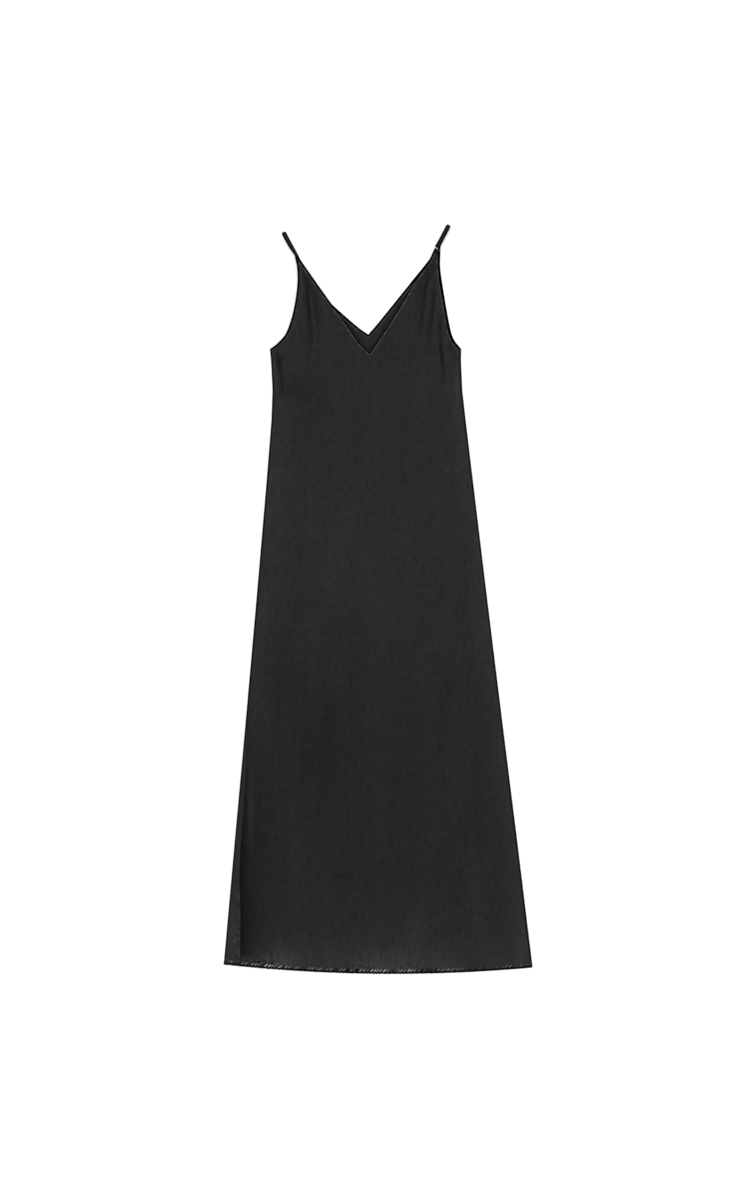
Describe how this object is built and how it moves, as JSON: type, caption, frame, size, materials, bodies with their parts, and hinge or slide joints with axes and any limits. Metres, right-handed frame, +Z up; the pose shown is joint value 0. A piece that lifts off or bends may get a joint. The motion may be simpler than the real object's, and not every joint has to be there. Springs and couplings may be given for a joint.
{
  "type": "slip dress",
  "caption": "Long sleeveless slip dress laid flat, with a V neck front and back, thin straps folded at the shoulder, and a flared skirt.",
  "frame": {"origin": "middle of the laid-out dress, on the surface that it lies on", "axes": "+X across the dress to the right of someone looking down at its front, +Y from the hem to the straps, +Z up from the surface"},
  "size_m": [0.6164, 1.4992, 0.0051],
  "materials": {
    "satin": "fine black satin, soft low sheen",
    "turned_satin": "same satin, turned over the side",
    "edge_satin": "same satin, rolled or turned and stitched",
    "strap_satin": "same satin, turned into a flat strap"
  },
  "bodies": {
    "root": {"front_panel": "satin", "back_panel": "satin", "back_side_turn": "turned_satin", "front_neck_edge": "edge_satin", "back_neck_edge": "edge_satin", "front_armhole_edge_left": "edge_satin", "front_armhole_edge_right": "edge_satin", "back_armhole_edge_left": "edge_satin", "back_armhole_edge_right": "edge_satin", "front_hem": "edge_satin", "back_hem": "edge_satin", "strap_left": "strap_satin", "strap_right": "strap_satin"}
  },
  "joints": []
}
